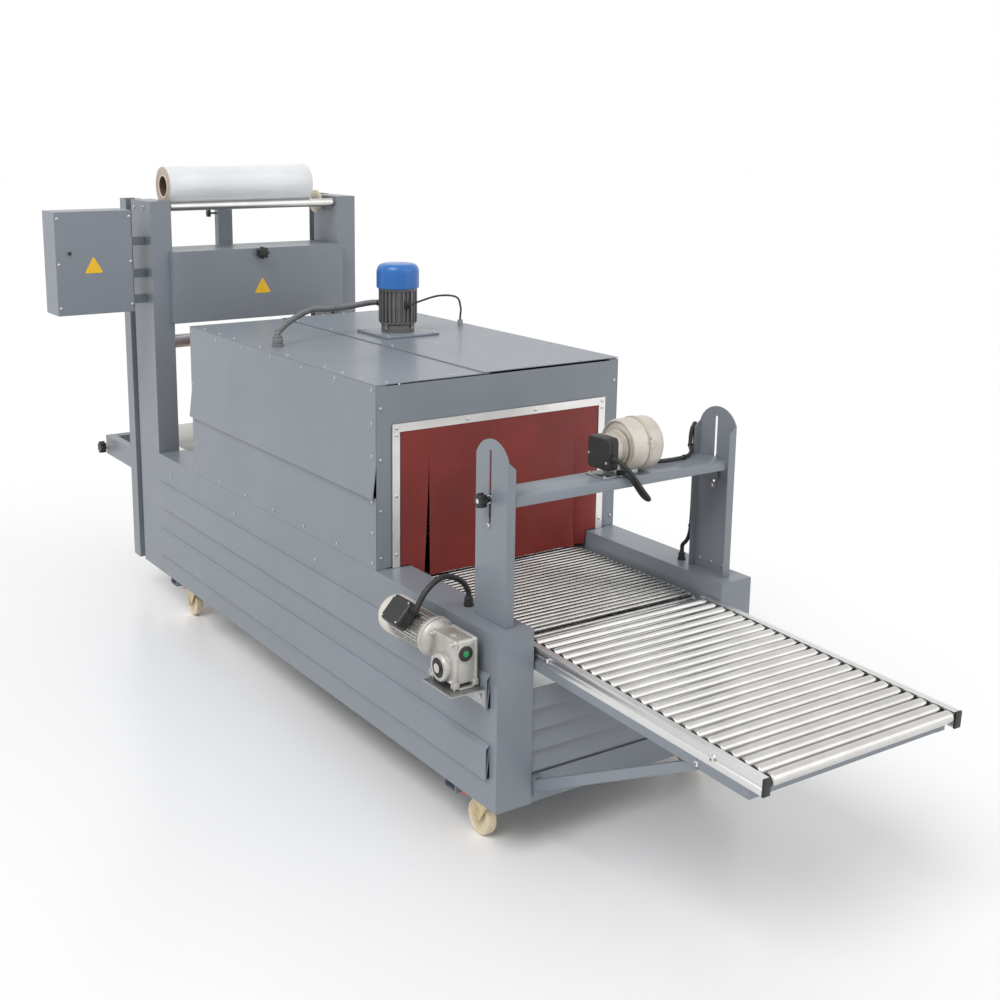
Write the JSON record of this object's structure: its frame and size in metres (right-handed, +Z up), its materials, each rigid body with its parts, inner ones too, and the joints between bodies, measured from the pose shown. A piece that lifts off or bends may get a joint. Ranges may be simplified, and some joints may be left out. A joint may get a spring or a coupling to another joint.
{
  "type": "heat shrink machine",
  "caption": "Film sealing gantry, heated shrink tunnel with a slit curtain, blower arms and an outfeed roller bed on a wheeled steel base.",
  "frame": {"origin": "centre of the whole footprint, at floor level", "axes": "+X along the product flow to the outfeed, +Y away from the side with the drive motor, +Z up"},
  "size_m": [3.7115, 1.258, 1.714],
  "materials": {
    "painted_steel": "semi-gloss grey-blue",
    "bright_steel": "bright",
    "aluminium_strip": "satin",
    "plated_fork": "yellow zinc plated",
    "wheel_cream": "moulded",
    "cast_alloy": "as cast",
    "grey_motor": "painted casting",
    "cream_motor": "painted casting",
    "blue_cap": "glossy",
    "black_box": "satin",
    "black_cable": "satin",
    "grey_conduit": "ribbed",
    "curtain_sheet": "soft coated sheet",
    "belt": "matt",
    "film": "clear film wound on a core"
  },
  "bodies": {
    "machine": {"side_cabinet_left": "painted_steel", "side_cabinet_right": "painted_steel", "end_panel": "painted_steel", "caster_beam_rear": "painted_steel", "caster_beam_front": "painted_steel", "gantry_post_left": "painted_steel", "gantry_post_right": "painted_steel", "gantry_cover": "painted_steel", "sealing_column": "painted_steel", "control_box": "painted_steel", "control_box_cover": "painted_steel", "infeed_side_left": "painted_steel", "infeed_side_right": "painted_steel", "tunnel_side_left": "painted_steel", "tunnel_side_right": "painted_steel", "tunnel_roof_left": "painted_steel", "tunnel_roof_right": "painted_steel", "tunnel_front_wall": "painted_steel", "tunnel_rear_wall": "painted_steel", "blower_arm_left": "painted_steel", "blower_arm_right": "painted_steel", "bed_subframe": "painted_steel", "gearbox_bracket": "painted_steel", "rod_conveyor": "bright_steel", "conveyor_head_shaft": "bright_steel", "conveyor_tail_shaft": "bright_steel", "roller_bed": "bright_steel", "film_support_rear": "bright_steel", "film_support_front": "bright_steel", "curtain_frame_front": "aluminium_strip", "curtain_frame_rear": "aluminium_strip", "infeed_bed": "aluminium_strip", "drive_gearbox": "cast_alloy", "drive_motor": "cast_alloy", "fan_motor": "grey_motor", "fan_cap": "blue_cap", "drive_terminal_box": "black_box", "fan_cable": "black_cable", "drive_cable": "black_cable", "blower_cable": "black_cable", "fan_conduit": "grey_conduit", "curtain_front": "curtain_sheet", "curtain_rear": "curtain_sheet", "infeed_belt": "belt"},
    "blower_head": {"blower_beam": "painted_steel", "blower_drum": "cream_motor", "blower_motor": "cream_motor", "blower_terminal_box": "black_box"},
    "film": {"film_roll": "film"},
    "caster_rear_left": {"caster_fork_rear_left": "plated_fork"},
    "wheel_rear_left": {"caster_wheel_rear_left": "wheel_cream"},
    "caster_rear_right": {"caster_fork_rear_right": "plated_fork"},
    "wheel_rear_right": {"caster_wheel_rear_right": "wheel_cream"},
    "caster_front_left": {"caster_fork_front_left": "plated_fork"},
    "wheel_front_left": {"caster_wheel_front_left": "wheel_cream"},
    "caster_front_right": {"caster_fork_front_right": "plated_fork"},
    "wheel_front_right": {"caster_wheel_front_right": "wheel_cream"}
  },
  "joints": [
    {"name": "blower_height", "type": "slide", "parent": "machine", "child": "blower_head", "axis": [0, 0, 1], "range_m": [-0.045, 0.11], "deforming": ["blower_cable"]},
    {"name": "film_spin", "type": "hinge", "parent": "machine", "child": "film", "pos_m": [-1.29575, 0.177, 1.647], "axis": [0, 1, 0], "continuous": true},
    {"name": "swivel_rear_left", "type": "hinge", "parent": "machine", "child": "caster_rear_left", "pos_m": [-1.03075, -0.198, 0.12], "axis": [0, 0, 1], "continuous": true},
    {"name": "wheel_spin_rear_left", "type": "hinge", "parent": "caster_rear_left", "child": "wheel_rear_left", "pos_m": [-1.06275, -0.198, 0.05], "axis": [0, 1, 0], "continuous": true},
    {"name": "swivel_rear_right", "type": "hinge", "parent": "machine", "child": "caster_rear_right", "pos_m": [-1.03075, 0.552, 0.12], "axis": [0, 0, 1], "continuous": true},
    {"name": "wheel_spin_rear_right", "type": "hinge", "parent": "caster_rear_right", "child": "wheel_rear_right", "pos_m": [-1.06275, 0.552, 0.05], "axis": [0, 1, 0], "continuous": true},
    {"name": "swivel_front_left", "type": "hinge", "parent": "machine", "child": "caster_front_left", "pos_m": [0.94425, -0.198, 0.12], "axis": [0, 0, 1], "continuous": true},
    {"name": "wheel_spin_front_left", "type": "hinge", "parent": "caster_front_left", "child": "wheel_front_left", "pos_m": [0.91225, -0.198, 0.05], "axis": [0, 1, 0], "continuous": true},
    {"name": "swivel_front_right", "type": "hinge", "parent": "machine", "child": "caster_front_right", "pos_m": [0.94425, 0.552, 0.12], "axis": [0, 0, 1], "continuous": true},
    {"name": "wheel_spin_front_right", "type": "hinge", "parent": "caster_front_right", "child": "wheel_front_right", "pos_m": [0.91225, 0.552, 0.05], "axis": [0, 1, 0], "continuous": true}
  ]
}
